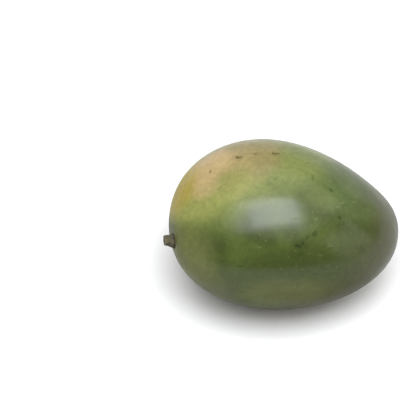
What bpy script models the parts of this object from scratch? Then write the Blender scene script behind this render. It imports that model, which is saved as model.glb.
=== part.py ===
"""A ripening mango lying on its side, with the dry stub of its stalk.

Metres, +Z up. The fruit rests on a small flat spot at z = 0. Its stalk end points towards -X and its
blossom end towards +X, and the middle of its box stands over the origin.

Run it with blender --background --python part.py, or from Blender's text editor.
"""

import math

import bmesh
import bpy
from mathutils import Matrix, Vector

MM = 0.001

# The fruit's own sizes, in millimetres: its length from the stalk to the blossom end, and how far
# the skin stands from that axis on the back, the front and the two cheeks, halfway along
FRUIT_LENGTH = 120.0
BACK_REACH = 48.9
FRONT_REACH = 42.4
CHEEK_REACH = 41.9

# How each of those three widens towards the stalk, and how square or pinched it is at both ends
BACK_LEAN, BACK_END = 0.299, -0.048
FRONT_LEAN, FRONT_END = -0.066, 0.063
CHEEK_LEAN, CHEEK_END = 0.130, -0.205

# Slow swells of the skin: height in millimetres, waves round the fruit, waves along it, phase
SWELLS = (
    (0.16, 2, 1.5, 0.6),
    (0.14, 3, 2.0, 2.3),
    (0.10, 5, 3.5, 4.1),
)

# Broad local forms: height in millimetres, and in degrees the place from the stalk, the place
# round the axis and the spread. They are a full shoulder beside the stalk, a faint flat near the
# blossom end, and two fainter ones on the front and on the upper cheek
LOCAL_FORMS = (
    (0.45, 28, 20, 18),
    (-0.55, 143, 42, 17),
    (-0.40, 96, -150, 24),
    (-0.30, 60, 80, 22),
)

# The dimple round the stalk, the furrow that runs down from it towards the resting side, and the
# pit that holds the stub
DIMPLE_DEPTH = 0.9
DIMPLE_RADIUS = 6.0
FURROW_DEPTH = 0.8
FURROW_TURN = math.radians(-112)
FURROW_WIDTH = math.radians(22)
FURROW_END = math.radians(68)
PIT_RADIUS = 3.9
PIT_DEPTH = 3.0
LIP_RADIUS = 0.35

# The stub's outline from its buried end to the middle of its broken end: height above the pit's
# rim and radius
STUB_OUTLINE = (
    (-2.6, 3.20),
    (-1.0, 3.50),
    (0.3, 3.55),
    (1.0, 3.40),
    (1.7, 3.10),
    (2.8, 2.95),
    (3.8, 3.00),
    (4.5, 2.95),
    (4.8, 2.60),
    (4.6, 2.00),
    (4.1, 1.40),
    (3.9, 0.70),
)
STUB_MIDDLE = 3.85
STUB_RIDGES = 5
STUB_RIDGE_SHARE = 0.035

# The stub leans a little as it leaves the pit: how far its broken end stands off the axis
STUB_LEAN = (0.35, 0.45)

# How the fruit lies: its axis turned in plan, its blossom end lower than its stalk end, and the
# flat spot worn where it rests
TURN = math.radians(13.1)
NOSE_DOWN = math.radians(6.2)
ROLL = math.radians(2.1)
FLAT_SPOT_DEPTH = 0.7

# How fine the solids are
FRUIT_MERIDIANS = 72
FRUIT_RINGS = 48
RING_CROWDING = 1.15
STUB_SIDES = 30


def reach(size, lean, end, theta):
    """How far the skin stands from the axis, theta of the way round from the stalk."""
    along = math.cos(theta)
    return size * math.sin(theta) * (1 + lean * along + end * along ** 2)


def swell(theta, phi):
    """The skin's slow unevenness, in millimetres; none at either end of the axis."""
    height = sum(size * math.sin(round_it * phi + along_it * theta + phase)
                 for size, round_it, along_it, phase in SWELLS)
    return height * math.sin(theta) ** 2


def angle_between(a, b):
    """The smaller angle between two directions round the axis."""
    return abs((a - b + math.pi) % (2 * math.pi) - math.pi)


def ends_left_out(theta):
    """One along the fruit, falling smoothly to none at either end of the axis."""
    return 1 - math.exp(-(4 * math.sin(theta)) ** 2)


def local_forms(theta, phi):
    """The height of the full shoulder and of the flats, in millimetres."""
    height = 0.0
    for size, from_stalk, turn, spread in LOCAL_FORMS:
        round_it = angle_between(phi, math.radians(turn)) * math.sin(theta)
        away = math.hypot(theta - math.radians(from_stalk), round_it)
        height += size * math.exp(-(away / math.radians(spread)) ** 2)
    return height * ends_left_out(theta)


def furrow(theta, phi):
    """The depth of the furrow that fades out away from the stalk, in millimetres."""
    across = math.exp(-(angle_between(phi, FURROW_TURN) / FURROW_WIDTH) ** 2)
    fade = math.cos(math.pi / 2 * min(1.0, theta / FURROW_END)) ** 2
    return FURROW_DEPTH * across * fade * ends_left_out(theta)


def skin_point(theta, phi):
    """A point of the skin, in metres, about the middle of the fruit's axis.

    theta runs from the stalk, 0, to the blossom end, pi. phi turns round the axis: 0 is the back,
    a quarter turn the upper cheek, half a turn the front.
    """
    back = reach(BACK_REACH, BACK_LEAN, BACK_END, theta)
    front = reach(FRONT_REACH, FRONT_LEAN, FRONT_END, theta)
    cheek = reach(CHEEK_REACH, CHEEK_LEAN, CHEEK_END, theta)
    relief = swell(theta, phi) + local_forms(theta, phi) - furrow(theta, phi)
    y = (back - front) / 2 + ((back + front) / 2 + relief) * math.cos(phi)
    z = (cheek + relief) * math.sin(phi)
    dimple = 0.0
    if theta < math.pi / 2:
        dimple = DIMPLE_DEPTH * math.exp(-(y * y + z * z) / DIMPLE_RADIUS ** 2)
    x = -FRUIT_LENGTH / 2 * math.cos(theta) + dimple
    return Vector((x, y, z)) * MM


def resting_turn():
    """The turn from the fruit's own axes to the way it lies."""
    return (Matrix.Rotation(TURN, 4, "Z")
            @ Matrix.Rotation(NOSE_DOWN, 4, "Y")
            @ Matrix.Rotation(ROLL, 4, "X"))


def add_object(name, bm, material):
    """Turns a bmesh into a smooth-shaded object of the scene."""
    mesh = bpy.data.meshes.new(name)
    bm.to_mesh(mesh)
    bm.free()
    mesh.shade_smooth()
    mesh.materials.append(material)
    obj = bpy.data.objects.new(name, mesh)
    bpy.context.scene.collection.objects.link(obj)
    return obj


def plain_material(name, color, roughness):
    """A material of one colour and gloss."""
    material = bpy.data.materials.new(name)
    material.use_nodes = True
    shader = material.node_tree.nodes["Principled BSDF"]
    shader.inputs["Base Color"].default_value = (*color, 1)
    shader.inputs["Roughness"].default_value = roughness
    shader.inputs["Metallic"].default_value = 0
    material.diffuse_color = (*color, 1)
    return material


def mouth_angle(phi):
    """The angle from the stalk at which the skin is a pit's radius away from the axis."""
    near, far = 0.0, math.radians(30)
    for _ in range(30):
        middle = (near + far) / 2
        point = skin_point(middle, phi)
        if math.hypot(point.y, point.z) < PIT_RADIUS * MM:
            near = middle
        else:
            far = middle
    return near


def draw_out_skin(bm):
    """Draws a sphere's net out to the mango's form; its first ring becomes the pit's mouth."""
    bmesh.ops.create_uvsphere(bm, u_segments=FRUIT_MERIDIANS, v_segments=FRUIT_RINGS, radius=1)
    stalk_pole = min(bm.verts, key=lambda vert: vert.co.z)
    bmesh.ops.delete(bm, geom=[stalk_pole], context="VERTS")
    for vert in bm.verts:
        ring = math.acos(max(-1, min(1, -vert.co.z))) / math.pi * FRUIT_RINGS
        beyond = max(0, ring - 1) / (FRUIT_RINGS - 1)
        phi = math.atan2(vert.co.y, vert.co.x)
        mouth = mouth_angle(phi)
        vert.co = skin_point(mouth + (math.pi - mouth) * beyond ** RING_CROWDING, phi)


def sink_pit(bm):
    """Extrudes the open ring at the stalk into a round pit with a flat floor and a soft lip."""
    lip = [edge for edge in bm.edges if edge.is_boundary]
    walls = bmesh.ops.extrude_edge_only(bm, edges=lip)["geom"]
    for item in walls:
        if isinstance(item, bmesh.types.BMVert):
            item.co.x = stub_seat().x + PIT_DEPTH * MM
    floor = [edge for edge in bm.edges if edge.is_boundary]
    bmesh.ops.contextual_create(bm, geom=floor)
    bmesh.ops.bevel(
        bm, geom=lip, offset=LIP_RADIUS * MM, segments=2, profile=0.5, affect="EDGES", material=-1)


def cut_flat_spot(bm, turn):
    """Cuts the level spot that the fruit rests on, square to the vertical as it lies."""
    down = turn.to_3x3().transposed() @ Vector((0, 0, -1))
    lowest = max(vert.co.dot(down) for vert in bm.verts)
    everything = bm.verts[:] + bm.edges[:] + bm.faces[:]
    cut = bmesh.ops.bisect_plane(
        bm, geom=everything, dist=0.01 * MM, clear_outer=True,
        plane_co=down * (lowest - FLAT_SPOT_DEPTH * MM), plane_no=down)
    edge_of_spot = [item for item in cut["geom_cut"] if isinstance(item, bmesh.types.BMEdge)]
    bmesh.ops.contextual_create(bm, geom=edge_of_spot)


def build_fruit(turn):
    """The whole fruit, stalk pit and resting spot included, in one closed body."""
    bm = bmesh.new()
    draw_out_skin(bm)
    sink_pit(bm)
    cut_flat_spot(bm, turn)
    bmesh.ops.recalc_face_normals(bm, faces=bm.faces[:])
    skin = plain_material("mango_skin", (0.13, 0.18, 0.06), 0.3)
    return add_object("fruit", bm, skin)


def stub_seat():
    """The middle of the pit's mouth, on the fruit's axis."""
    return skin_point(0, 0)


def build_stub():
    """The broken stalk: a spun outline, ridged along its length, closed at both ends."""
    bm = bmesh.new()
    outline = [(STUB_OUTLINE[0][0], 0), *STUB_OUTLINE, (STUB_MIDDLE, 0)]
    verts = [bm.verts.new((-height * MM, radius * MM, 0)) for height, radius in outline]
    edges = [bm.edges.new(pair) for pair in zip(verts, verts[1:])]
    bmesh.ops.spin(
        bm, geom=verts + edges, cent=(0, 0, 0), axis=(1, 0, 0), angle=2 * math.pi,
        steps=STUB_SIDES, use_merge=True)
    bmesh.ops.remove_doubles(bm, verts=bm.verts[:], dist=0.001 * MM)
    bmesh.ops.recalc_face_normals(bm, faces=bm.faces[:])
    for vert in bm.verts:
        phi = math.atan2(vert.co.z, vert.co.y)
        ridge = 1 + STUB_RIDGE_SHARE * (math.sin(STUB_RIDGES * phi) - 1)
        out = max(0.0, -vert.co.x / (STUB_MIDDLE * MM))
        vert.co.y = vert.co.y * ridge + out * STUB_LEAN[0] * MM
        vert.co.z = vert.co.z * ridge + out * STUB_LEAN[1] * MM
    bmesh.ops.translate(bm, verts=bm.verts[:], vec=stub_seat())
    wood = plain_material("stub_wood", (0.12, 0.1, 0.06), 0.8)
    return add_object("stem_stub", bm, wood)


def resting_place(pieces, turn):
    """The shift that stands the turned pieces on z = 0 with their box's middle over the origin."""
    points = [turn @ vert.co for piece in pieces for vert in piece.data.vertices]
    low = [min(point[axis] for point in points) for axis in range(3)]
    high = [max(point[axis] for point in points) for axis in range(3)]
    return Matrix.Translation((-(low[0] + high[0]) / 2, -(low[1] + high[1]) / 2, -low[2]))


def main():
    for old in list(bpy.data.objects):
        bpy.data.objects.remove(old, do_unlink=True)

    turn = resting_turn()
    fruit = build_fruit(turn)
    stub = build_stub()

    rest = bpy.data.objects.new("mango_at_rest", None)
    bpy.context.scene.collection.objects.link(rest)
    rest.matrix_world = resting_place((fruit, stub), turn) @ turn
    for piece in (fruit, stub):
        piece.parent = rest
    bpy.context.view_layer.update()


main()
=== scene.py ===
"""The looks of a mango that lies on its side, with the dry stub of its stalk.

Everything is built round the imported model, in its frame: metres, +Z up, stalk end towards -X.
Patterns on the skin are laid out in millimetres on the fruit's own axes, which the form's turn,
nose_down and roll carry to the way it lies.
"""

import math
from collections import namedtuple

import bmesh
import bpy
from bpy.props import FloatProperty, FloatVectorProperty, IntProperty, PointerProperty
from mathutils import Matrix, Quaternion, Vector, noise
from mathutils.bvhtree import BVHTree


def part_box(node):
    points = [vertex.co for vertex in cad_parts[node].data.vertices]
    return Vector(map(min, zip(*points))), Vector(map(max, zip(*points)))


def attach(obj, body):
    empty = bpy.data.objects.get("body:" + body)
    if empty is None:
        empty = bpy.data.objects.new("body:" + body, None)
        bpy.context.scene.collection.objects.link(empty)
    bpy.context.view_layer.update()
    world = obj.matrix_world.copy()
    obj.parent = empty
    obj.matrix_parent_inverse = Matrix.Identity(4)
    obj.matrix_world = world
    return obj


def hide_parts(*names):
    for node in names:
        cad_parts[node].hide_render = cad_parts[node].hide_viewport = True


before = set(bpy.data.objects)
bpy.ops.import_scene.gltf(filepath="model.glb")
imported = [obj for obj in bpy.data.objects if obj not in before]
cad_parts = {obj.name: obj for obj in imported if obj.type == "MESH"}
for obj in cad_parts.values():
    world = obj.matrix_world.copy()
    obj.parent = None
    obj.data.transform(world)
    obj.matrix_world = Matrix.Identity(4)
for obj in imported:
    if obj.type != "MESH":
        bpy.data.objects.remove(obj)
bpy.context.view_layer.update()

bl_info = {
    "name": "Mango",
    "version": (1, 0, 0),
    "blender": (4, 5, 0),
    "location": "View3D > Sidebar > Mango",
    "description": "Models a mango at rest, with its skin, its stalk stub and a plain studio",
    "category": "Add Mesh",
}

MM = 0.001

# How square or pinched the form is towards the stalk and towards both ends
BACK_LEAN, BACK_END = 0.299, -0.048
FRONT_LEAN, FRONT_END = -0.066, 0.063
CHEEK_LEAN, CHEEK_END = 0.130, -0.205

# Slow swells of the skin: height in millimetres, waves round the fruit, waves along it, phase
SWELLS = (
    (0.16, 2, 1.5, 0.6),
    (0.14, 3, 2.0, 2.3),
    (0.10, 5, 3.5, 4.1),
)

# Broad local forms: height in millimetres, then degrees from the stalk, round the axis and across
LOCAL_FORMS = (
    (0.45, 28, 20, 18),
    (-0.55, 143, 42, 17),
    (-0.40, 96, -150, 24),
    (-0.30, 60, 80, 22),
)

# The dimple, the furrow and the stub's pit, in millimetres and radians
DIMPLE_DEPTH, DIMPLE_RADIUS = 0.9, 6.0
FURROW_DEPTH, FURROW_TURN = 0.8, math.radians(-112)
FURROW_WIDTH, FURROW_END = math.radians(22), math.radians(68)
PIT_RADIUS, PIT_DEPTH, LIP_RADIUS, LIP_STEPS = 3.9, 3.0, 0.35, 4
FLAT_SPOT_DEPTH = 0.7

# The pit's mouth is looked for this near the stalk, by this many halvings
MOUTH_REACH, MOUTH_HALVINGS = math.radians(30), 30
# Above one, the skin's rings crowd towards the stalk
RING_CROWDING = 1.15

# The photograph's frame, in pixels, and the pixel where the middle of the fruit's box lies
FRAME_SIDE = 400
FRUIT_MIDDLE_PIXEL = (284.3, 224.7)


class MangoForm(bpy.types.PropertyGroup):
    """The size of the fruit and the way it lies"""

    length: FloatProperty(
        name="Length", description="From the stalk to the blossom end",
        default=0.120, min=0.05, max=0.25, unit="LENGTH")
    back_reach: FloatProperty(
        name="Back", description="From the axis to the fuller back, halfway along",
        default=0.0489, min=0.02, max=0.1, unit="LENGTH")
    front_reach: FloatProperty(
        name="Front", description="From the axis to the flatter front, halfway along",
        default=0.0424, min=0.02, max=0.1, unit="LENGTH")
    cheek_reach: FloatProperty(
        name="Cheeks", description="From the axis to either cheek, halfway along",
        default=0.0419, min=0.02, max=0.1, unit="LENGTH")
    turn: FloatProperty(
        name="Turn", description="The axis turned in plan",
        default=math.radians(13.1), subtype="ANGLE")
    nose_down: FloatProperty(
        name="Nose down", description="The blossom end tipped lower than the stalk end",
        default=math.radians(6.2), subtype="ANGLE")
    roll: FloatProperty(
        name="Roll", description="The fruit rolled about its own axis",
        default=math.radians(2.1), subtype="ANGLE")
    meridians: IntProperty(
        name="Meridians", description="How fine the skin's net is round the fruit",
        default=300, min=24, max=400)
    rings: IntProperty(
        name="Rings", description="How fine the skin's net is along the fruit",
        default=220, min=24, max=400)


def color_property(name, description, default):
    return FloatVectorProperty(
        name=name, description=description, default=default, size=3, subtype="COLOR", min=0, max=1)


class MangoSkin(bpy.types.PropertyGroup):
    """The skin's colours and gloss"""

    green: color_property("Green", "The skin's main green", (0.056, 0.077, 0.015))
    # Deep green also paints shade in a band across the front
    deep_green_and_shade: color_property("Deep green", "Darker clouds in the green", (0.032, 0.045, 0.007))
    # Light green also paints a glow beside the highlight
    light_green_and_glow: color_property("Light green", "The paler clouds on top", (0.134, 0.160, 0.046))
    # Grey green also paints a bluish sheen on the upper right flank
    grey_green_and_sheen: color_property("Grey green", "The cooler green beside them", (0.086, 0.114, 0.042))
    yellow: color_property("Yellow", "The shoulder that ripens first", (0.190, 0.202, 0.058))
    tan: color_property("Tan", "The browner side of the shoulder", (0.200, 0.160, 0.068))
    orange: color_property("Orange", "The ripest skin, round the stalk", (0.285, 0.220, 0.038))
    sallow_and_sheen: color_property("Sallow", "The duller yellow low on the shoulder", (0.118, 0.122, 0.040))
    # Sallow also paints a sheen low on the front
    blush: color_property("Blush", "The pale blush on the shoulder", (0.375, 0.275, 0.132))
    olive: color_property("Olive", "The browner blossom end and underside", (0.041, 0.041, 0.012))
    speck: color_property("Specks", "The pale pores of the skin", (0.175, 0.200, 0.085))
    scar: color_property("Scars", "Dry brown rubs and scratches", (0.085, 0.058, 0.022))
    spot: color_property("Spots", "Dark green spots in the skin", (0.012, 0.024, 0.003))
    roughness: FloatProperty(
        name="Roughness", description="How dull the skin under the wax is",
        default=0.5, min=0, max=1, subtype="FACTOR")
    wax: FloatProperty(
        name="Wax", description="How thick the glossy wax is",
        default=0.48, min=0, max=1, subtype="FACTOR")


class MangoStub(bpy.types.PropertyGroup):
    """The stalk stub's size and colours"""

    radius: FloatProperty(
        name="Radius", description="The stub's radius where it leaves the pit",
        default=0.00355, min=0.001, max=0.01, unit="LENGTH")
    length: FloatProperty(
        name="Length", description="How far the broken end stands out of the pit",
        default=0.0048, min=0.001, max=0.02, unit="LENGTH")
    bark: color_property("Bark", "The stub's dry side", (0.084, 0.073, 0.035))
    rim: color_property("Rim", "The paler rim of the broken end", (0.150, 0.124, 0.072))
    # The core colour also paints the shade where the stub goes into its pit
    core: color_property("Core", "Cracks and the middle of the broken end", (0.030, 0.021, 0.013))


class MangoStage(bpy.types.PropertyGroup):
    """The camera, the lights and the floor"""

    elevation: FloatProperty(
        name="Camera height", description="How far above level the camera looks down from",
        default=math.radians(48), subtype="ANGLE")
    distance: FloatProperty(
        name="Camera distance", description="From the fruit's middle to the camera",
        default=0.59, min=0.2, max=5, unit="LENGTH")
    pixel: FloatProperty(
        name="Pixel", description="What one pixel of the frame spans at the fruit's middle",
        default=0.001 / 1.9383, min=0.0001, max=0.01, precision=6, unit="LENGTH")
    floor: color_property("Floor", "The pale floor", (0.735, 0.725, 0.73))
    light: FloatProperty(
        name="Light", description="Brightness of all the panels together",
        default=1.03, min=0, max=10)
    room_strength: FloatProperty(
        name="Room light", description="Strength of the even light from all round",
        default=0.12, min=0, max=5)


def reach(size, lean, end, theta):
    """How far the skin stands from the axis, theta of the way round from the stalk."""
    along = math.cos(theta)
    return size / MM * math.sin(theta) * (1 + lean * along + end * along ** 2)


def swell(theta, phi):
    """The skin's slow unevenness, in millimetres; none at either end of the axis."""
    height = sum(size * math.sin(round_it * phi + along_it * theta + phase)
                 for size, round_it, along_it, phase in SWELLS)
    return height * math.sin(theta) ** 2


def angle_between(a, b):
    """The smaller angle between two directions round the axis."""
    return abs((a - b + math.pi) % (2 * math.pi) - math.pi)


def ends_left_out(theta):
    """One along the fruit, falling smoothly to none at either end of the axis."""
    return 1 - math.exp(-(4 * math.sin(theta)) ** 2)


def local_forms(theta, phi):
    """The height of the full shoulder and of the flats, in millimetres."""
    height = 0.0
    for size, from_stalk, turn, spread in LOCAL_FORMS:
        round_it = angle_between(phi, math.radians(turn)) * math.sin(theta)
        away = math.hypot(theta - math.radians(from_stalk), round_it)
        height += size * math.exp(-(away / math.radians(spread)) ** 2)
    return height * ends_left_out(theta)


def furrow(theta, phi):
    """The depth of the furrow that fades out away from the stalk, in millimetres."""
    across = math.exp(-(angle_between(phi, FURROW_TURN) / FURROW_WIDTH) ** 2)
    fade = math.cos(math.pi / 2 * min(1.0, theta / FURROW_END)) ** 2
    return FURROW_DEPTH * across * fade * ends_left_out(theta)


def skin_point(form, theta, phi):
    """A point of the skin on the fruit's own axes, in metres.

    theta runs from the stalk, 0, to the blossom end, pi. phi turns round the axis: 0 is the back,
    a quarter turn the upper cheek, half a turn the front.
    """
    back = reach(form.back_reach, BACK_LEAN, BACK_END, theta)
    front = reach(form.front_reach, FRONT_LEAN, FRONT_END, theta)
    cheek = reach(form.cheek_reach, CHEEK_LEAN, CHEEK_END, theta)
    relief = swell(theta, phi) + local_forms(theta, phi) - furrow(theta, phi)
    y = (back - front) / 2 + ((back + front) / 2 + relief) * math.cos(phi)
    z = (cheek + relief) * math.sin(phi)
    dimple = 0.0
    if theta < math.pi / 2:
        dimple = DIMPLE_DEPTH * math.exp(-(y * y + z * z) / DIMPLE_RADIUS ** 2)
    x = -form.length / 2 / MM * math.cos(theta) + dimple
    return Vector((x, y, z)) * MM


def mouth_angle(form, phi):
    """The angle from the stalk at which the skin is a pit's radius away from the axis."""
    near, far = 0.0, MOUTH_REACH
    for _ in range(MOUTH_HALVINGS):
        middle = (near + far) / 2
        point = skin_point(form, middle, phi)
        if math.hypot(point.y, point.z) < PIT_RADIUS * MM:
            near = middle
        else:
            far = middle
    return near


def resting_turn(form):
    """The turn from the fruit's own axes to the way it lies."""
    return (Matrix.Rotation(form.turn, 4, "Z")
            @ Matrix.Rotation(form.nose_down, 4, "Y")
            @ Matrix.Rotation(form.roll, 4, "X"))


def box_of(verts):
    low = Vector([min(vert.co[axis] for vert in verts) for axis in range(3)])
    high = Vector([max(vert.co[axis] for vert in verts) for axis in range(3)])
    return low, high


def fit_to_node(bm, node):
    """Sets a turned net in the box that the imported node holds, and returns the shift it made."""
    low, high = box_of(bm.verts)
    node_low, node_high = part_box(node)
    shift = (node_low + node_high - low - high) / 2
    middle = (node_low + node_high) / 2
    share = Vector([(node_high[i] - node_low[i]) / (high[i] - low[i]) for i in range(3)])
    for vert in bm.verts:
        away = vert.co + shift - middle
        vert.co = middle + Vector([away[i] * share[i] for i in range(3)])
    return shift


def add_piece(name, bm, material, node):
    """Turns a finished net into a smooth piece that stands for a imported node."""
    bmesh.ops.recalc_face_normals(bm, faces=bm.faces[:])
    mesh = bpy.data.meshes.new(name)
    bm.to_mesh(mesh)
    bm.free()
    mesh.shade_smooth()
    mesh.materials.append(material)
    piece = bpy.data.objects.new(name, mesh)
    bpy.context.scene.collection.objects.link(piece)
    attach(piece, "root")
    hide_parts(node)
    return piece


def draw_out_skin(bm, form):
    """Draws a sphere's net out to the mango's form; its first ring becomes the pit's mouth."""
    bmesh.ops.create_uvsphere(bm, u_segments=form.meridians, v_segments=form.rings, radius=1)
    stalk_pole = min(bm.verts, key=lambda vert: vert.co.z)
    bmesh.ops.delete(bm, geom=[stalk_pole], context="VERTS")
    mouths = {}
    for vert in bm.verts:
        ring = math.acos(max(-1, min(1, -vert.co.z))) / math.pi * form.rings
        beyond = max(0, ring - 1) / (form.rings - 1)
        phi = math.atan2(vert.co.y, vert.co.x)
        key = round(phi, 4)
        if key not in mouths:
            mouths[key] = mouth_angle(form, phi)
        mouth = mouths[key]
        vert.co = skin_point(form, mouth + (math.pi - mouth) * beyond ** RING_CROWDING, phi)


def sink_pit(bm, form):
    """Extrudes the open ring at the stalk into a round pit with a flat floor and a soft lip."""
    lip = [edge for edge in bm.edges if edge.is_boundary]
    walls = bmesh.ops.extrude_edge_only(bm, edges=lip)["geom"]
    floor_x = skin_point(form, 0, 0).x + PIT_DEPTH * MM
    for item in walls:
        if isinstance(item, bmesh.types.BMVert):
            item.co.x = floor_x
    floor = [edge for edge in bm.edges if edge.is_boundary]
    bmesh.ops.contextual_create(bm, geom=floor)
    bmesh.ops.bevel(
        bm, geom=lip, offset=LIP_RADIUS * MM, segments=LIP_STEPS, profile=0.5, affect="EDGES",
        material=-1)


def flatten_resting_spot(bm):
    """Presses the lowest skin of the turned net level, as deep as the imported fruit's flat spot."""
    level = min(vert.co.z for vert in bm.verts) + FLAT_SPOT_DEPTH * MM
    for vert in bm.verts:
        vert.co.z = max(vert.co.z, level)


def build_fruit_net(form):
    """The fruit's fine net as it lies, and the matrix from its own axes to the frame."""
    bm = bmesh.new()
    draw_out_skin(bm, form)
    sink_pit(bm, form)
    turn = resting_turn(form)
    bmesh.ops.transform(bm, matrix=turn, verts=bm.verts[:])
    flatten_resting_spot(bm)
    shift = fit_to_node(bm, "fruit")
    return bm, Matrix.Translation(shift) @ turn


def add_node(tree, kind, inputs=None, **settings):
    """Adds a shader node. An input is a plain value or another node's output."""
    node = tree.nodes.new(kind)
    for name, value in settings.items():
        setattr(node, name, value)
    for key, value in (inputs or {}).items():
        if isinstance(value, bpy.types.NodeSocket):
            tree.links.new(value, node.inputs[key])
        else:
            node.inputs[key].default_value = value
    return node


def math_node(tree, operation, *values):
    node = add_node(tree, "ShaderNodeMath", dict(enumerate(values)), operation=operation)
    return node.outputs[0]


def vector_node(tree, operation, *values):
    node = add_node(tree, "ShaderNodeVectorMath", dict(enumerate(values)), operation=operation)
    return node.outputs["Value" if operation in ("LENGTH", "DOT_PRODUCT") else "Vector"]


def ramp(tree, value, low, high, to_low=0.0, to_high=1.0, smooth=True):
    """Maps low..high to to_low..to_high and holds the ends."""
    kind = "SMOOTHSTEP" if smooth else "LINEAR"
    node = add_node(
        tree, "ShaderNodeMapRange",
        {"Value": value, "From Min": low, "From Max": high, "To Min": to_low, "To Max": to_high},
        interpolation_type=kind)
    return node.outputs["Result"]


def noise_value(tree, place, size, detail=2.0, roughness=0.5):
    """Noise from 0 to 1 whose waves are about size millimetres long."""
    node = add_node(
        tree, "ShaderNodeTexNoise",
        {"Vector": place, "Scale": 1 / size, "Detail": detail, "Roughness": roughness})
    return node.outputs["Fac"]


# The sockets of a colour mix: its factor, the colour under and the colour over
MIX_FACTOR, MIX_UNDER, MIX_OVER = 0, 6, 7
MIX_RESULT = 2


def mixed(tree, mask, under, over, blend="MIX"):
    """Lays one colour over another where the mask says."""
    node = add_node(tree, "ShaderNodeMix", data_type="RGBA", blend_type=blend, clamp_factor=True)
    for index, value in ((MIX_FACTOR, mask), (MIX_UNDER, under), (MIX_OVER, over)):
        if isinstance(value, bpy.types.NodeSocket):
            tree.links.new(value, node.inputs[index])
        else:
            node.inputs[index].default_value = value if index == MIX_FACTOR else (*value, 1)
    return node.outputs[MIX_RESULT]


def grey(tree, value):
    """A grey as bright as a value."""
    inputs = {"Red": value, "Green": value, "Blue": value}
    return add_node(tree, "ShaderNodeCombineColor", inputs).outputs["Color"]


def new_group(name, inputs, outputs):
    """An empty shader node group with named sockets."""
    group = bpy.data.node_groups.new(name, "ShaderNodeTree")
    for socket, kind, default in inputs:
        made = group.interface.new_socket(socket, in_out="INPUT", socket_type=kind)
        if default is not None:
            made.default_value = default
    for socket, kind in outputs:
        group.interface.new_socket(socket, in_out="OUTPUT", socket_type=kind)
    return group, group.nodes.new("NodeGroupInput").outputs, group.nodes.new("NodeGroupOutput").inputs


VALUE, VECTOR = "NodeSocketFloat", "NodeSocketVector"


def patch_group():
    """A soft, uneven patch round a middle."""
    group, given, out = new_group(
        "Soft patch",
        (("Place", VECTOR, None), ("Middle", VECTOR, (0, 0, 0)), ("Spread", VECTOR, (20, 20, 20)),
         ("Edge", VALUE, 0.5), ("Uneven", VALUE, 0.3), ("Cloud size", VALUE, 15.0)),
        (("Mask", VALUE),))
    away = vector_node(group, "SUBTRACT", given["Place"], given["Middle"])
    away = vector_node(group, "LENGTH", vector_node(group, "DIVIDE", away, given["Spread"]))
    scale = math_node(group, "DIVIDE", 1.0, given["Cloud size"])
    cloud = add_node(
        group, "ShaderNodeTexNoise",
        {"Vector": given["Place"], "Scale": scale, "Detail": 3.0}).outputs["Fac"]
    wobble = math_node(group, "MULTIPLY", math_node(group, "SUBTRACT", cloud, 0.5), given["Uneven"])
    distance = math_node(group, "ADD", away, wobble)
    inner = math_node(group, "SUBTRACT", 1.0, given["Edge"])
    outer = math_node(group, "ADD", 1.0, given["Edge"])
    group.links.new(ramp(group, distance, outer, inner), out["Mask"])
    return group


def mark_group():
    """A narrow mark with ragged edges; the wobble is a shared noise round zero."""
    group, given, out = new_group(
        "Mark",
        (("Place", VECTOR, None), ("Middle", VECTOR, (0, 0, 0)), ("Along", VECTOR, (1, 0, 0)),
         ("Length", VALUE, 4.0), ("Width", VALUE, 1.0), ("Wobble", VALUE, 0.0),
         ("Strength", VALUE, 1.0)),
        (("Mask", VALUE),))
    away = vector_node(group, "SUBTRACT", given["Place"], given["Middle"])
    along = vector_node(group, "DOT_PRODUCT", away, given["Along"])
    whole = vector_node(group, "LENGTH", away)
    square = math_node(
        group, "SUBTRACT", math_node(group, "POWER", whole, 2.0), math_node(group, "POWER", along, 2.0))
    across = math_node(group, "SQRT", math_node(group, "MAXIMUM", square, 0.0))
    along = math_node(group, "DIVIDE", math_node(group, "ABSOLUTE", along), given["Length"])
    across = math_node(group, "DIVIDE", across, given["Width"])
    distance = math_node(
        group, "SQRT", math_node(
            group, "ADD", math_node(group, "POWER", along, 2.0), math_node(group, "POWER", across, 2.0)))
    distance = math_node(group, "MULTIPLY_ADD", distance, 2.0, given["Wobble"])
    mask = math_node(group, "MULTIPLY", ramp(group, distance, 1.25, 0.65), given["Strength"])
    group.links.new(mask, out["Mask"])
    return group


def specks_group():
    """Small round dots of uneven strength, scattered at an even spacing."""
    group, given, out = new_group(
        "Specks",
        (("Place", VECTOR, None), ("Spacing", VALUE, 3.0), ("Radius", VALUE, 0.4),
         ("Share", VALUE, 0.7)),
        (("Mask", VALUE),))
    scale = math_node(group, "DIVIDE", 1.0, given["Spacing"])
    cells = add_node(group, "ShaderNodeTexVoronoi", {"Vector": given["Place"], "Scale": scale})
    distance = math_node(group, "MULTIPLY", cells.outputs["Distance"], given["Spacing"])
    dot = ramp(group, math_node(group, "DIVIDE", distance, given["Radius"]), 1.1, 0.4)
    pick = add_node(group, "ShaderNodeSeparateColor", {"Color": cells.outputs["Color"]}).outputs[0]
    kept = math_node(group, "LESS_THAN", pick, given["Share"])
    strength = ramp(group, pick, 0.0, given["Share"], 0.4, 1.0, smooth=False)
    group.links.new(
        math_node(group, "MULTIPLY", dot, math_node(group, "MULTIPLY", kept, strength)), out["Mask"])
    return group


def placed_group(tree, group, **values):
    """Places a node group and returns its mask; an input name's underscore stands for a space."""
    inputs = {name.replace("_", " "): value for name, value in values.items()}
    return add_node(tree, "ShaderNodeGroup", inputs, node_tree=group).outputs["Mask"]


def strongest(tree, masks):
    """The highest of several masks at each point."""
    whole = masks[0]
    for mask in masks[1:]:
        whole = math_node(tree, "MAXIMUM", whole, mask)
    return whole


def new_material(name):
    """A new material, its node tree and its Principled shader."""
    material = bpy.data.materials.new(name)
    material.use_nodes = True
    return material, material.node_tree, material.node_tree.nodes["Principled BSDF"]


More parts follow.
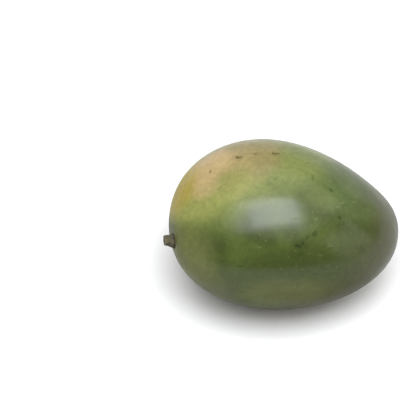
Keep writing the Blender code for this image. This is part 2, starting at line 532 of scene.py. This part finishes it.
def own_place(tree, to_frame):
    """Where a point lies on the fruit's own axes, in millimetres."""
    coordinates = add_node(tree, "ShaderNodeTexCoord").outputs["Object"]
    mapping = add_node(
        tree, "ShaderNodeMapping",
        {"Vector": coordinates, "Location": to_frame.translation,
         "Rotation": to_frame.to_euler("XYZ"), "Scale": (MM, MM, MM)},
        vector_type="TEXTURE")
    return mapping.outputs["Vector"]


View = namedtuple("View", "middle right up back pixel distance")


def camera_view(stage):
    """The fruit's middle, and the camera's own directions, pixel and distance from there."""
    rise = stage.elevation
    low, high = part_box("fruit")
    return View(
        (low + high) / 2, Vector((1, 0, 0)), Vector((0, math.sin(rise), math.cos(rise))),
        Vector((0, -math.cos(rise), math.sin(rise))), stage.pixel, stage.distance)


def seen_at(view, pixel):
    """The point of the picture plane through the fruit's middle that a pixel shows."""
    across = (pixel[0] - FRUIT_MIDDLE_PIXEL[0]) * view.pixel
    down = (pixel[1] - FRUIT_MIDDLE_PIXEL[1]) * view.pixel
    return view.middle + view.right * across - view.up * down


def camera_place(view):
    return seen_at(view, (FRAME_SIDE / 2, FRAME_SIDE / 2)) + view.back * view.distance


def skin_under_pixel(view, skin_tree, pixel):
    """The point of the skin that the camera sees at a pixel of the frame."""
    eye = camera_place(view)
    found = skin_tree.ray_cast(eye, (seen_at(view, pixel) - eye).normalized())[0]
    if found is None:
        raise RuntimeError(f"the mark at pixel {pixel} misses the fruit")
    return found


def marks_mask(tree, group, place, wobble, marks, view, skin_tree, to_own):
    """The marks seen at their pixels, laid on the skin in one mask."""
    masks = []
    for mark in marks:
        middle = to_own @ skin_under_pixel(view, skin_tree, mark.pixel)
        slant = math.radians(mark.slant)
        ahead = (mark.pixel[0] + 3 * math.cos(slant), mark.pixel[1] - 3 * math.sin(slant))
        along = (to_own @ skin_under_pixel(view, skin_tree, ahead) - middle).normalized()
        masks.append(placed_group(
            tree, group, Place=place, Middle=middle / MM, Along=along, Length=mark.length,
            Width=mark.width, Wobble=wobble, Strength=mark.strength))
    return strongest(tree, masks)


Patch = namedtuple("Patch", "tone middle spread edge uneven cloud strength")
Mark = namedtuple("Mark", "pixel slant length width strength")

# Where the skin changes tone, laid one over another on the fruit's own axes, in millimetres:
# the tone, the middle, the spread, how soft and how uneven the edge is, its clouds and its strength
# A few of these patches are painted sheen, highlight glow and shade rather than the skin's own tone;
# each is marked.
SKIN_PATCHES = (
    Patch("light_green_and_glow", (-20, 22, 36), (44, 32, 32), 0.25, 0.4, 14, 0.8),
    # These two cooler green patches on the upper right flank are partly the skin's cooler tone and
    # partly a painted bluish sheen.
    Patch("grey_green_and_sheen", (20, 2, 38), (22, 12, 12), 0.50, 0.5, 10, 0.6),
    Patch("grey_green_and_sheen", (28, -14, 31), (22, 10, 11), 0.50, 0.5, 12, 0.6),
    Patch("light_green_and_glow", (-38, -4, 29), (14, 12, 14), 0.50, 0.4, 14, 0.5),
    Patch("light_green_and_glow", (2, 4, 40), (12, 10, 12), 0.50, 0.6, 9, 0.4),
    # This small paler patch beside the highlight is a painted glow of the highlight.
    Patch("light_green_and_glow", (8, -13, 36), (9, 6, 8), 0.50, 0.5, 10, 0.3),
    Patch("olive", (62, -22, 0), (38, 38, 34), 0.40, 0.5, 12, 0.85),
    Patch("olive", (18, -34, 22), (22, 16, 14), 0.50, 0.5, 12, 0.2),
    Patch("olive", (42, -27, 15), (14, 9, 12), 0.50, 0.5, 10, 0.3),
    Patch("deep_green_and_shade", (27, -28, 23), (12, 8, 8), 0.50, 0.5, 10, 0.5),
    Patch("olive", (28, -43, -3), (34, 17, 22), 0.50, 0.5, 12, 0.8),
    Patch("olive", (0, -32, -38), (62, 26, 24), 0.50, 0.5, 14, 0.85),
    # This darker green band across the front, below the middle, is partly the skin's deeper green and
    # partly painted shade.
    Patch("deep_green_and_shade", (-10, -39, 15), (38, 12, 12), 0.50, 0.4, 12, 0.9),
    Patch("yellow", (-42, 19, 26), (28, 26.5, 27), 0.18, 0.25, 12, 1.0),
    Patch("yellow", (0, 7, 40), (12, 9, 12), 0.50, 0.6, 9, 0.25),
    Patch("tan", (-27, 20, 32), (25, 20.5, 28), 0.30, 0.4, 12, 0.85),
    Patch("yellow", (-33, 4, 35), (13, 8, 10), 0.50, 0.6, 9, 0.6),
    Patch("yellow", (-24, -4, 37), (10, 8, 10), 0.50, 0.6, 9, 0.2),
    Patch("sallow_and_sheen", (-57, -14, 3), (16, 15, 16), 0.50, 0.5, 12, 0.7),
    Patch("sallow_and_sheen", (-50, -24, -8), (20, 14, 14), 0.50, 0.5, 12, 0.3),
    # This sallow patch low on the front is a painted sheen, a reflection laid into the skin.
    Patch("sallow_and_sheen", (-14, -44, 1), (26, 10, 10), 0.50, 0.5, 10, 0.5),
    Patch("orange", (-54, 26, 16), (14, 18, 18), 0.40, 0.4, 10, 0.85),
    Patch("blush", (-39, 24, 29), (12, 11, 11), 0.50, 0.6, 8, 0.9),
    Patch("blush", (-28, 19, 35), (11, 9, 10), 0.50, 0.6, 8, 0.25),
    Patch("blush", (-43, 12, 27), (8, 8, 8), 0.50, 0.6, 8, 0.55),
    Patch("orange", (-49, 24, 18), (8, 9, 8), 0.50, 0.6, 8, 0.6),
)
# Where the wax is thinner or thicker: middle, spread, softness and change of the coat's weight
WAX_PATCHES = (
    Patch("less", (0, -46, -20), (84, 26, 26), 0.45, 0.3, 16, 0.40),
    Patch("less", (66, -16, 4), (22, 28, 24), 0.50, 0.3, 12, 0.10),
    Patch("less", (24, -40, 8), (26, 14, 12), 0.50, 0.3, 12, 0.10),
    Patch("less", (0, -42, 4), (22, 8, 8), 0.50, 0.5, 10, 0.08),
    Patch("less", (-64, 0, 0), (20, 60, 60), 0.50, 0.3, 12, 0.36),
    Patch("more", (34, 44, 10), (60, 30, 50), 0.40, 0.3, 16, 0.16),
)

# The skin's low waves: how long each is, in millimetres, its detail and its height in millimetres
SKIN_WAVES = (
    (14, 1, 0.45),
    (6.5, 3, 0.24),
    (1.1, 2, 0.028),
)

# Dry rubs and scratches: the pixel of the photograph where each lies, its slant there in degrees,
# its length and width in millimetres and how dark it is
SCARS = (
    Mark((239.2, 157.4), -4, 3.6, 2.2, 0.65),
    Mark((237.2, 157.2), -10, 1.9, 2.1, 0.95),
    Mark((254.7, 153.9), 0, 2.6, 2.0, 0.50),
    Mark((254.0, 157.6), 0, 2.4, 1.3, 0.25),
    Mark((275.4, 153.6), -2, 4.2, 2.0, 0.65),
    Mark((273.4, 153.4), -2, 1.9, 1.9, 0.90),
    Mark((210.2, 171.9), 88, 3.0, 1.4, 0.65),
    Mark((220.4, 188.0), 55, 3.0, 1.5, 0.30),
    Mark((239.5, 175.4), 10, 3.4, 1.6, 0.22),
    Mark((306.9, 163.1), 10, 2.4, 1.6, 0.30),
    Mark((214.0, 203.5), -60, 4.6, 0.9, 0.22),
    Mark((295.0, 219.0), 8, 3.8, 0.9, 0.35),
)
# Dark green spots, in the same terms
SPOTS = (
    Mark((330.9, 190.3), -40, 2.6, 1.6, 0.60),
    Mark((302.6, 243.6), 60, 2.0, 1.4, 0.90),
    Mark((298.2, 246.0), -8, 3.2, 1.7, 1.00),
    Mark((307.5, 237.5), 60, 3.0, 1.6, 0.45),
    Mark((315.0, 233.6), 80, 3.4, 2.4, 0.55),
    Mark((339.6, 217.8), 0, 2.4, 2.0, 0.65),
    Mark((300.5, 254.5), 15, 3.2, 1.4, 0.35),
    Mark((280.0, 262.0), 0, 2.4, 1.8, 0.30),
    Mark((361.0, 246.0), 30, 2.0, 1.3, 0.60),
    Mark((363.4, 249.4), 40, 2.2, 1.3, 0.60),
    Mark((359.6, 249.2), 0, 1.6, 1.2, 0.50),
    Mark((355.4, 247.8), 20, 2.0, 1.1, 0.45),
    Mark((361.6, 252.6), 0, 1.8, 1.0, 0.45),
    Mark((356.0, 243.4), 10, 1.4, 1.0, 0.35),
    Mark((309.5, 271.0), 20, 2.6, 1.3, 0.45),
    Mark((313.6, 273.5), 10, 2.4, 1.3, 0.50),
    Mark((321.5, 266.5), 0, 2.4, 1.4, 0.40),
    Mark((325.6, 269.0), 20, 1.6, 1.1, 0.45),
    Mark((319.6, 270.0), 0, 1.4, 1.0, 0.40),
    Mark((337.0, 253.4), 10, 2.6, 1.2, 0.30),
    Mark((240.5, 266.0), 0, 3.0, 1.4, 0.40),
    Mark((270.0, 184.0), 0, 3.8, 2.4, 0.20),
    Mark((276.0, 178.5), 30, 3.6, 2.0, 0.20),
    Mark((308.0, 190.5), 20, 4.6, 2.6, 0.20),
    Mark((313.0, 177.0), 70, 3.8, 1.6, 0.30),
    Mark((242.0, 292.0), 80, 2.0, 1.8, 0.50),
)
# Pale streaks and rubs, in the same terms
STREAKS = (
    Mark((281.7, 160.0), 90, 4.6, 1.1, 0.40),
    Mark((310.5, 171.0), 60, 3.6, 1.0, 0.30),
    Mark((330.0, 181.5), 20, 2.8, 1.0, 0.25),
    Mark((333.0, 166.5), -30, 2.4, 1.0, 0.25),
    Mark((342.5, 203.0), 15, 4.6, 1.0, 0.22),
    Mark((338.0, 207.0), 0, 3.4, 1.1, 0.18),
    Mark((354.0, 202.0), 10, 3.2, 1.0, 0.25),
    Mark((241.5, 205.0), 60, 3.6, 1.8, 0.35),
    Mark((281.0, 178.0), 20, 4.2, 1.2, 0.25),
    Mark((316.0, 219.0), 60, 2.2, 1.4, 0.20),
    Mark((259.0, 247.0), -10, 2.4, 1.0, 0.25),
    Mark((320.0, 255.0), 0, 3.4, 1.0, 0.18),
    Mark((330.0, 246.0), 10, 3.2, 1.0, 0.18),
    Mark((216.0, 190.5), 30, 2.6, 1.2, 0.30),
    Mark((210.0, 201.5), 50, 2.4, 1.2, 0.25),
)


def placed_patch(tree, group, place, patch):
    """One of the patches above, as a mask as strong as the patch asks for."""
    mask = placed_group(
        tree, group, Place=place, Middle=patch.middle, Spread=patch.spread, Edge=patch.edge,
        Uneven=patch.uneven, Cloud_size=float(patch.cloud))
    return math_node(tree, "MULTIPLY", mask, patch.strength)


def stalk_collar(tree, place):
    """The ring of skin round the stalk's pit, and the fine puckers that run away from it."""
    axes = add_node(tree, "ShaderNodeSeparateXYZ", {"Vector": place}).outputs
    outward = add_node(
        tree, "ShaderNodeCombineXYZ", {"X": 0.0, "Y": axes["Y"], "Z": axes["Z"]}).outputs["Vector"]
    at_stalk = ramp(tree, axes["X"], -40, -50)
    away = vector_node(tree, "LENGTH", outward)
    ring = math_node(tree, "MULTIPLY", ramp(tree, away, 8.0, 4.0), at_stalk)
    round_it = vector_node(tree, "NORMALIZE", outward)
    folds = ramp(tree, noise_value(tree, round_it, 0.22, 2), 0.35, 0.65)
    near = math_node(tree, "MULTIPLY", ramp(tree, away, 11.0, 4.0), at_stalk)
    return ring, math_node(tree, "MULTIPLY", folds, near)


def skin_ground(tree, place, look, patch):
    """The skin's broad tones: clouds in the green, the patches over them, a few of them painted sheen,
    glow and shade, and a fine mottle.
    """
    clouds = ramp(tree, noise_value(tree, place, 22, 2), 0.35, 0.65)
    color = mixed(tree, clouds, look.deep_green_and_shade, look.green)
    for zone in SKIN_PATCHES:
        color = mixed(tree, placed_patch(tree, patch, place, zone), color, getattr(look, zone.tone))
    mottle = ramp(tree, noise_value(tree, place, 2.4, 4, 0.6), 0.3, 0.72, 0.90, 1.10)
    return mixed(tree, 1.0, color, grey(tree, mottle), "MULTIPLY")


def skin_marks(tree, place, scene, mark, skin_tree, to_frame):
    """The masks of the pale streaks, of the dark spots and of the dry scars."""
    to_own, view = to_frame.inverted(), camera_view(scene.mango_stage)
    wobble = ramp(tree, noise_value(tree, place, 0.8, 3), 0.25, 0.75, -0.55, 0.55, smooth=False)
    streaks, spots, scars = [
        marks_mask(tree, mark, place, wobble, marks, view, skin_tree, to_own)
        for marks in (STREAKS, SPOTS, SCARS)]
    blossom_scar = placed_group(
        tree, mark, Place=place, Middle=(scene.mango_form.length / 2 / MM, 0, 0), Along=(0, 1, 0),
        Length=2.6, Width=2.0, Wobble=wobble, Strength=0.8)
    return streaks, spots, strongest(tree, (scars, blossom_scar))


def wax_weight(tree, place, look, patch, scars):
    """How thick the wax is: rubbed off on the scars, and duller where the skin is seen edge-on."""
    wax = look.wax
    for zone in WAX_PATCHES:
        step = "SUBTRACT" if zone.tone == "less" else "ADD"
        wax = math_node(tree, step, wax, placed_patch(tree, patch, place, zone))
    wax = math_node(tree, "MAXIMUM", wax, 0.0)
    wax = math_node(tree, "MULTIPLY", wax, math_node(tree, "SUBTRACT", 1.0, scars))
    facing = add_node(tree, "ShaderNodeLayerWeight", {"Blend": 0.5}).outputs["Facing"]
    return math_node(tree, "MULTIPLY", wax, ramp(tree, facing, 0.65, 1.0, 1.0, 0.75))


def skin_normal(tree, place, reliefs):
    """The skin's low relief: its own waves, and each mask raised or sunk, in millimetres."""
    waves = [(noise_value(tree, place, size, detail), depth) for size, detail, depth in SKIN_WAVES]
    height = 0.0
    for relief, depth in (*waves, *reliefs):
        height = math_node(tree, "MULTIPLY_ADD", relief, depth, height)
    bump = add_node(
        tree, "ShaderNodeBump", {"Height": height, "Strength": 1.0, "Distance": MM})
    return bump.outputs["Normal"]


def skin_material(scene, skin_tree, to_frame):
    """Waxy green skin that ripens at the shoulder, with pores, rubs, a browner blossom end and a few
    patches of painted sheen and shade.
    """
    look = scene.mango_skin
    material, tree, shader = new_material("mango_skin")
    place = own_place(tree, to_frame)
    patch, mark, specks = patch_group(), mark_group(), specks_group()

    color = skin_ground(tree, place, look, patch)
    pores = placed_group(tree, specks, Place=place, Spacing=3.4, Radius=0.5, Share=0.75)
    fine_pores = placed_group(tree, specks, Place=place, Spacing=1.5, Radius=0.28, Share=0.6)
    collar, puckers = stalk_collar(tree, place)
    streaks, spots, scars = skin_marks(tree, place, scene, mark, skin_tree, to_frame)
    layers = (
        (pores, 0.34, look.speck), (fine_pores, 0.22, look.speck), (collar, 0.6, look.sallow_and_sheen),
        (streaks, 1.0, look.speck), (spots, 1.0, look.spot), (scars, 1.0, look.scar))
    for mask, strength, tone in layers:
        color = mixed(tree, math_node(tree, "MULTIPLY", mask, strength), color, tone)
    tree.links.new(color, shader.inputs["Base Color"])

    rough = ramp(tree, noise_value(tree, place, 9, 3), 0.3, 0.7, look.roughness - 0.04,
                 look.roughness + 0.05)
    tree.links.new(rough, shader.inputs["Roughness"])
    wax = wax_weight(tree, place, look, patch, scars)
    tree.links.new(wax, shader.inputs["Coat Weight"])
    shader.inputs["Specular IOR Level"].default_value = 0.09
    shader.inputs["IOR"].default_value = 1.45
    shader.inputs["Coat IOR"].default_value = 1.6
    shader.inputs["Coat Roughness"].default_value = 0.20

    reliefs = (
        (pores, 0.020), (streaks, 0.030), (spots, -0.040), (scars, -0.060), (puckers, 0.25))
    tree.links.new(skin_normal(tree, place, reliefs), shader.inputs["Normal"])
    return material


Panel = namedtuple("Panel", "name place size radiance tint roll", defaults=((1, 1, 1), 0))

# The studio's soft panels, all turned towards the fruit: place and size in metres, roll in degrees
PANELS = (
    Panel("softbox", (-0.05, -0.32, 1.0), (1.12, 0.71), 2.6, (0.96, 1.0, 1.04), 7),
    Panel("softbox_middle", (0.01, -0.255, 0.99), (0.70, 0.57), 5.8, (0.96, 1.0, 1.05), 7),
    Panel("ceiling_panel", (0.2, -0.1, 1.8), (3.4, 3.0), 1.22, (1.02, 1.0, 0.93)),
    Panel("right_panel", (1.25, -0.5, 0.4), (1.0, 0.7), 1.3, (1.03, 1.0, 0.93)),
    Panel("left_panel", (-1.2, -0.5, 0.4), (1.0, 0.7), 0.6, (1.05, 1.0, 0.90)),
    Panel("back_panel", (0.3, 1.3, 0.25), (2.4, 0.5), 0.7),
    Panel("front_panel", (0.1, -1.3, 0.3), (1.6, 0.5), 0.1, (1.05, 1.0, 0.90)),
)
PANELS_AIM = Vector((0, 0, 0.03))

# The floor lies a hair below the frame's own level; its clouds are this share of its own tone
FLOOR_LEVEL = -0.05 * MM
FLOOR_RADIUS, FLOOR_SIDES = 4, 64
FLOOR_CLOUDS = 0.985


class MANGO_OT_stage(bpy.types.Operator):
    """Sets up the camera, the pale floor and the soft light"""

    bl_idname = "mango.stage"
    bl_label = "Studio"

    def execute(self, context):
        stage = context.scene.mango_stage
        self.add_camera(context, stage)
        self.add_floor(context, stage)
        for panel in PANELS:
            self.add_panel(context, stage, panel)
        self.light_room(context, stage)
        context.scene.view_settings.view_transform = "Standard"
        return {"FINISHED"}

    def add_camera(self, context, stage):
        camera = bpy.data.cameras.new("studio_camera")
        camera.sensor_width = 36
        camera.lens = camera.sensor_width * stage.distance / (FRAME_SIDE * stage.pixel)
        camera.clip_start = 0.05
        camera.clip_end = 20
        holder = bpy.data.objects.new("studio_camera", camera)
        view = camera_view(stage)
        holder.matrix_world = Matrix.Translation(camera_place(view)) @ Matrix(
            (view.right, view.up, view.back)).transposed().to_4x4()
        context.scene.collection.objects.link(holder)
        context.scene.camera = holder

    def add_floor(self, context, stage):
        bm = bmesh.new()
        bmesh.ops.create_circle(bm, cap_ends=True, radius=FLOOR_RADIUS, segments=FLOOR_SIDES)
        bmesh.ops.translate(bm, verts=bm.verts[:], vec=(0, 0, FLOOR_LEVEL))
        mesh = bpy.data.meshes.new("floor")
        bm.to_mesh(mesh)
        bm.free()
        material, tree, shader = new_material("pale_floor")
        coordinates = add_node(tree, "ShaderNodeTexCoord").outputs["Object"]
        tone = add_node(
            tree, "ShaderNodeTexNoise", {"Vector": coordinates, "Scale": 3.0}).outputs["Fac"]
        pale = [channel * FLOOR_CLOUDS for channel in stage.floor]
        tree.links.new(mixed(tree, tone, pale, stage.floor), shader.inputs["Base Color"])
        shader.inputs["Roughness"].default_value = 0.7
        shader.inputs["Specular IOR Level"].default_value = 0.2
        mesh.materials.append(material)
        floor = bpy.data.objects.new("floor", mesh)
        context.scene.collection.objects.link(floor)

    def add_panel(self, context, stage, panel):
        lamp = bpy.data.lights.new(panel.name, "AREA")
        lamp.shape = "RECTANGLE"
        lamp.size, lamp.size_y = panel.size
        lamp.color = panel.tint
        lamp.energy = panel.radiance * math.pi * lamp.size * lamp.size_y * stage.light
        holder = bpy.data.objects.new(panel.name, lamp)
        away = Vector(panel.place) - PANELS_AIM
        holder.location = panel.place
        roll = Quaternion((0, 0, 1), math.radians(panel.roll))
        holder.rotation_euler = (away.to_track_quat("Z", "Y") @ roll).to_euler()
        context.scene.collection.objects.link(holder)

    def light_room(self, context, stage):
        """A white backdrop to look at that sheds only a little light."""
        world = bpy.data.worlds.new("pale_room")
        world.use_nodes = True
        tree = world.node_tree
        background = tree.nodes["Background"]
        background.inputs["Color"].default_value = (1, 1, 1, 1)
        looked_at = add_node(tree, "ShaderNodeLightPath").outputs["Is Camera Ray"]
        strength = ramp(tree, looked_at, 0, 1, stage.room_strength, 1.0, smooth=False)
        tree.links.new(strength, background.inputs["Strength"])
        context.scene.world = world


class MANGO_OT_fruit(bpy.types.Operator):
    """Models the whole fruit and gives it its skin"""

    bl_idname = "mango.fruit"
    bl_label = "Fruit"

    def execute(self, context):
        bm, to_frame = build_fruit_net(context.scene.mango_form)
        material = skin_material(context.scene, BVHTree.FromBMesh(bm), to_frame)
        add_piece("mango_fruit", bm, material, "fruit")
        return {"FINISHED"}


def stub_outline(stub):
    """The stub's turned outline from its buried end to its broken end: height and radius, in mm."""
    radius, length = stub.radius / MM, stub.length / MM
    shares = (
        (-0.55, 0.00), (-0.55, 0.90), (-0.21, 0.985), (0.06, 1.00), (0.21, 0.97), (0.35, 0.90),
        (0.58, 0.81), (0.79, 0.77), (0.94, 0.74), (1.00, 0.64), (0.96, 0.49), (0.85, 0.34),
        (0.81, 0.18), (0.80, 0.00))
    return [(length * along, radius * out) for along, out in shares]


STUB_SIDES = 96

# The stub's five ridges and its fibres, as shares of its radius
RIDGES, RIDGE_SHARE, FIBRE_SHARE = 5, 0.05, 0.16
# How far the broken end leans back and up, and how deep and high it is splintered, in millimetres
LEAN_BACK, LEAN_UP = 0.42, 0.54
SPLINTER_DEPTH, SPLINTER_HEIGHT, SPLINTERED_SHARE = 0.45, 0.2, 0.3

# Where the rim and the hollow of the broken end begin and are whole, as shares of the length
RIM_BEGINS, RIM_WHOLE = 0.86, 0.97
HOLLOW_BEGINS, HOLLOW_WHOLE = 0.70, 0.80
# How wide the hollow is, as shares of the radius, and how ragged it is, in millimetres
HOLLOW_MIDDLE, HOLLOW_EDGE, HOLLOW_RAGGED = 0.70, 1.05, 2.4
# The fibres, drawn out along the stub, and how dark the bark is between them
FIBRES_DRAWN_OUT, DARK_BARK = 0.22, 0.55
# Painted shade where the stub goes into its pit, in the core colour: from and to, in millimetres
# outwards, and how dark
PIT_SHADE_FROM, PIT_SHADE_TO, PIT_SHADE_DARK = -0.2, 1.3, 0.85


def weathered(point, stub):
    """Where a point of the turned stub ends up once it has dried, leaned over and broken off."""
    phi = math.atan2(point.z, point.y)
    height = -point.x / stub.length
    out = max(0.0, height)
    fibre = noise.noise(Vector((height * 1.5, 3 * math.cos(phi), 3 * math.sin(phi))))
    splinter = noise.noise(Vector((5.0, 4 * math.cos(phi), 4 * math.sin(phi))))
    ridge = 1 + RIDGE_SHARE * (math.sin(RIDGES * phi) - 1) + FIBRE_SHARE * fibre * min(1, out + 0.3)
    near_end = max(0.0, height - 1 + SPLINTERED_SHARE) / SPLINTERED_SHARE
    broken = SPLINTER_DEPTH * MM * splinter * near_end
    return Vector((
        point.x - min(broken, SPLINTER_HEIGHT * MM),
        point.y * ridge + out * LEAN_BACK * MM,
        point.z * ridge + out * LEAN_UP * MM))


def stub_material(stub, place_of, to_frame):
    """Dry, fibrous stalk: grey-green bark with dark cracks and a broken end, pale at its rim, and
    painted shade where it goes into its pit.
    """
    material, tree, shader = new_material("stub_wood")
    place = own_place(tree, to_frame)
    from_seat = vector_node(tree, "SUBTRACT", place, place_of / MM)
    axes = add_node(tree, "ShaderNodeSeparateXYZ", {"Vector": from_seat}).outputs
    length, radius = stub.length / MM, stub.radius / MM
    fibres = add_node(
        tree, "ShaderNodeMapping",
        {"Vector": from_seat, "Scale": (FIBRES_DRAWN_OUT, 1.0, 1.0)}).outputs["Vector"]
    grain = noise_value(tree, fibres, 0.8, 4, 0.65)
    cracks = ramp(tree, noise_value(tree, fibres, 1.3, 3, 0.7), 0.47, 0.40)
    dark_bark = [tone * DARK_BARK for tone in stub.bark]
    color = mixed(tree, ramp(tree, grain, 0.3, 0.7), dark_bark, stub.bark)
    color = mixed(tree, cracks, color, stub.core)

    lean = math_node(tree, "MULTIPLY", axes["X"], 0.1)
    middle = add_node(
        tree, "ShaderNodeCombineXYZ",
        {"X": 0.0, "Y": math_node(tree, "ADD", axes["Y"], lean),
         "Z": math_node(tree, "ADD", axes["Z"], lean)}).outputs["Vector"]
    spread = vector_node(tree, "LENGTH", middle)
    ragged = noise_value(tree, from_seat, 1.2, 4, 0.7)
    uneven = math_node(tree, "MULTIPLY_ADD", ragged, HOLLOW_RAGGED, spread)
    rim = ramp(tree, axes["X"], -RIM_BEGINS * length, -RIM_WHOLE * length)
    inner = ramp(tree, uneven, radius * HOLLOW_EDGE, radius * HOLLOW_MIDDLE)
    top = ramp(tree, axes["X"], -HOLLOW_BEGINS * length, -HOLLOW_WHOLE * length)
    rim = math_node(tree, "MULTIPLY", rim, ramp(tree, grain, 0.32, 0.62, 0.25, 0.9))
    color = mixed(tree, rim, color, stub.rim)
    hollow = math_node(tree, "MULTIPLY", inner, ramp(tree, grain, 0.35, 0.60, 1.0, 0.35))
    color = mixed(tree, math_node(tree, "MULTIPLY", hollow, top), color, stub.core)
    # Painted shade: the stub is darkened where it goes into its pit
    buried = ramp(tree, axes["X"], -PIT_SHADE_TO, -PIT_SHADE_FROM)
    color = mixed(tree, math_node(tree, "MULTIPLY", buried, PIT_SHADE_DARK), color, stub.core)
    tree.links.new(color, shader.inputs["Base Color"])
    tree.links.new(ramp(tree, grain, 0, 1, 0.7, 0.95), shader.inputs["Roughness"])
    height = math_node(tree, "SUBTRACT", math_node(tree, "MULTIPLY", grain, 0.35), cracks)
    bump = add_node(
        tree, "ShaderNodeBump", {"Height": height, "Strength": 1.0, "Distance": 0.2 * MM})
    tree.links.new(bump.outputs["Normal"], shader.inputs["Normal"])
    return material


class MANGO_OT_stub(bpy.types.Operator):
    """Models the dry stub of the stalk in its pit"""

    bl_idname = "mango.stub"
    bl_label = "Stalk stub"

    def execute(self, context):
        form = context.scene.mango_form
        stub = context.scene.mango_stub
        bm = bmesh.new()
        verts = [bm.verts.new((-height * MM, radius * MM, 0)) for height, radius in stub_outline(stub)]
        edges = [bm.edges.new(pair) for pair in zip(verts, verts[1:])]
        bmesh.ops.subdivide_edges(bm, edges=edges, cuts=4)
        bmesh.ops.spin(
            bm, geom=bm.verts[:] + bm.edges[:], cent=(0, 0, 0), axis=(1, 0, 0), angle=2 * math.pi,
            steps=STUB_SIDES, use_merge=True)
        bmesh.ops.remove_doubles(bm, verts=bm.verts[:], dist=0.001 * MM)
        for vert in bm.verts:
            vert.co = weathered(vert.co, stub)
        seat = skin_point(form, 0, 0)
        turn = resting_turn(form)
        bmesh.ops.transform(bm, matrix=turn @ Matrix.Translation(seat), verts=bm.verts[:])
        shift = fit_to_node(bm, "stem_stub")
        material = stub_material(stub, seat, Matrix.Translation(shift) @ turn)
        add_piece("mango_stalk_stub", bm, material, "stem_stub")
        return {"FINISHED"}


class MANGO_PT_panel(bpy.types.Panel):
    """The mango's sizes, colours and steps"""

    bl_label = "Mango"
    bl_idname = "MANGO_PT_panel"
    bl_space_type = "VIEW_3D"
    bl_region_type = "UI"
    bl_category = "Mango"

    def draw(self, context):
        for group, operator in SECTIONS:
            box = self.layout.box()
            settings = getattr(context.scene, group)
            for name in settings.__annotations__:
                box.prop(settings, name)
            if operator:
                box.operator(operator)


SECTIONS = (
    ("mango_stage", "mango.stage"),
    ("mango_form", None),
    ("mango_skin", "mango.fruit"),
    ("mango_stub", "mango.stub"),
)
GROUPS = {
    "mango_form": MangoForm,
    "mango_skin": MangoSkin,
    "mango_stub": MangoStub,
    "mango_stage": MangoStage,
}
OPERATORS = (MANGO_OT_stage, MANGO_OT_fruit, MANGO_OT_stub)


def register():
    for name, group in GROUPS.items():
        bpy.utils.register_class(group)
        setattr(bpy.types.Scene, name, PointerProperty(type=group))
    for kind in (*OPERATORS, MANGO_PT_panel):
        bpy.utils.register_class(kind)


def unregister():
    for kind in (MANGO_PT_panel, *reversed(OPERATORS)):
        bpy.utils.unregister_class(kind)
    for name, group in GROUPS.items():
        delattr(bpy.types.Scene, name)
        bpy.utils.unregister_class(group)


def main():
    register()
    bpy.ops.mango.stage()
    bpy.ops.mango.fruit()
    bpy.ops.mango.stub()


if __name__ == "__main__":
    main()
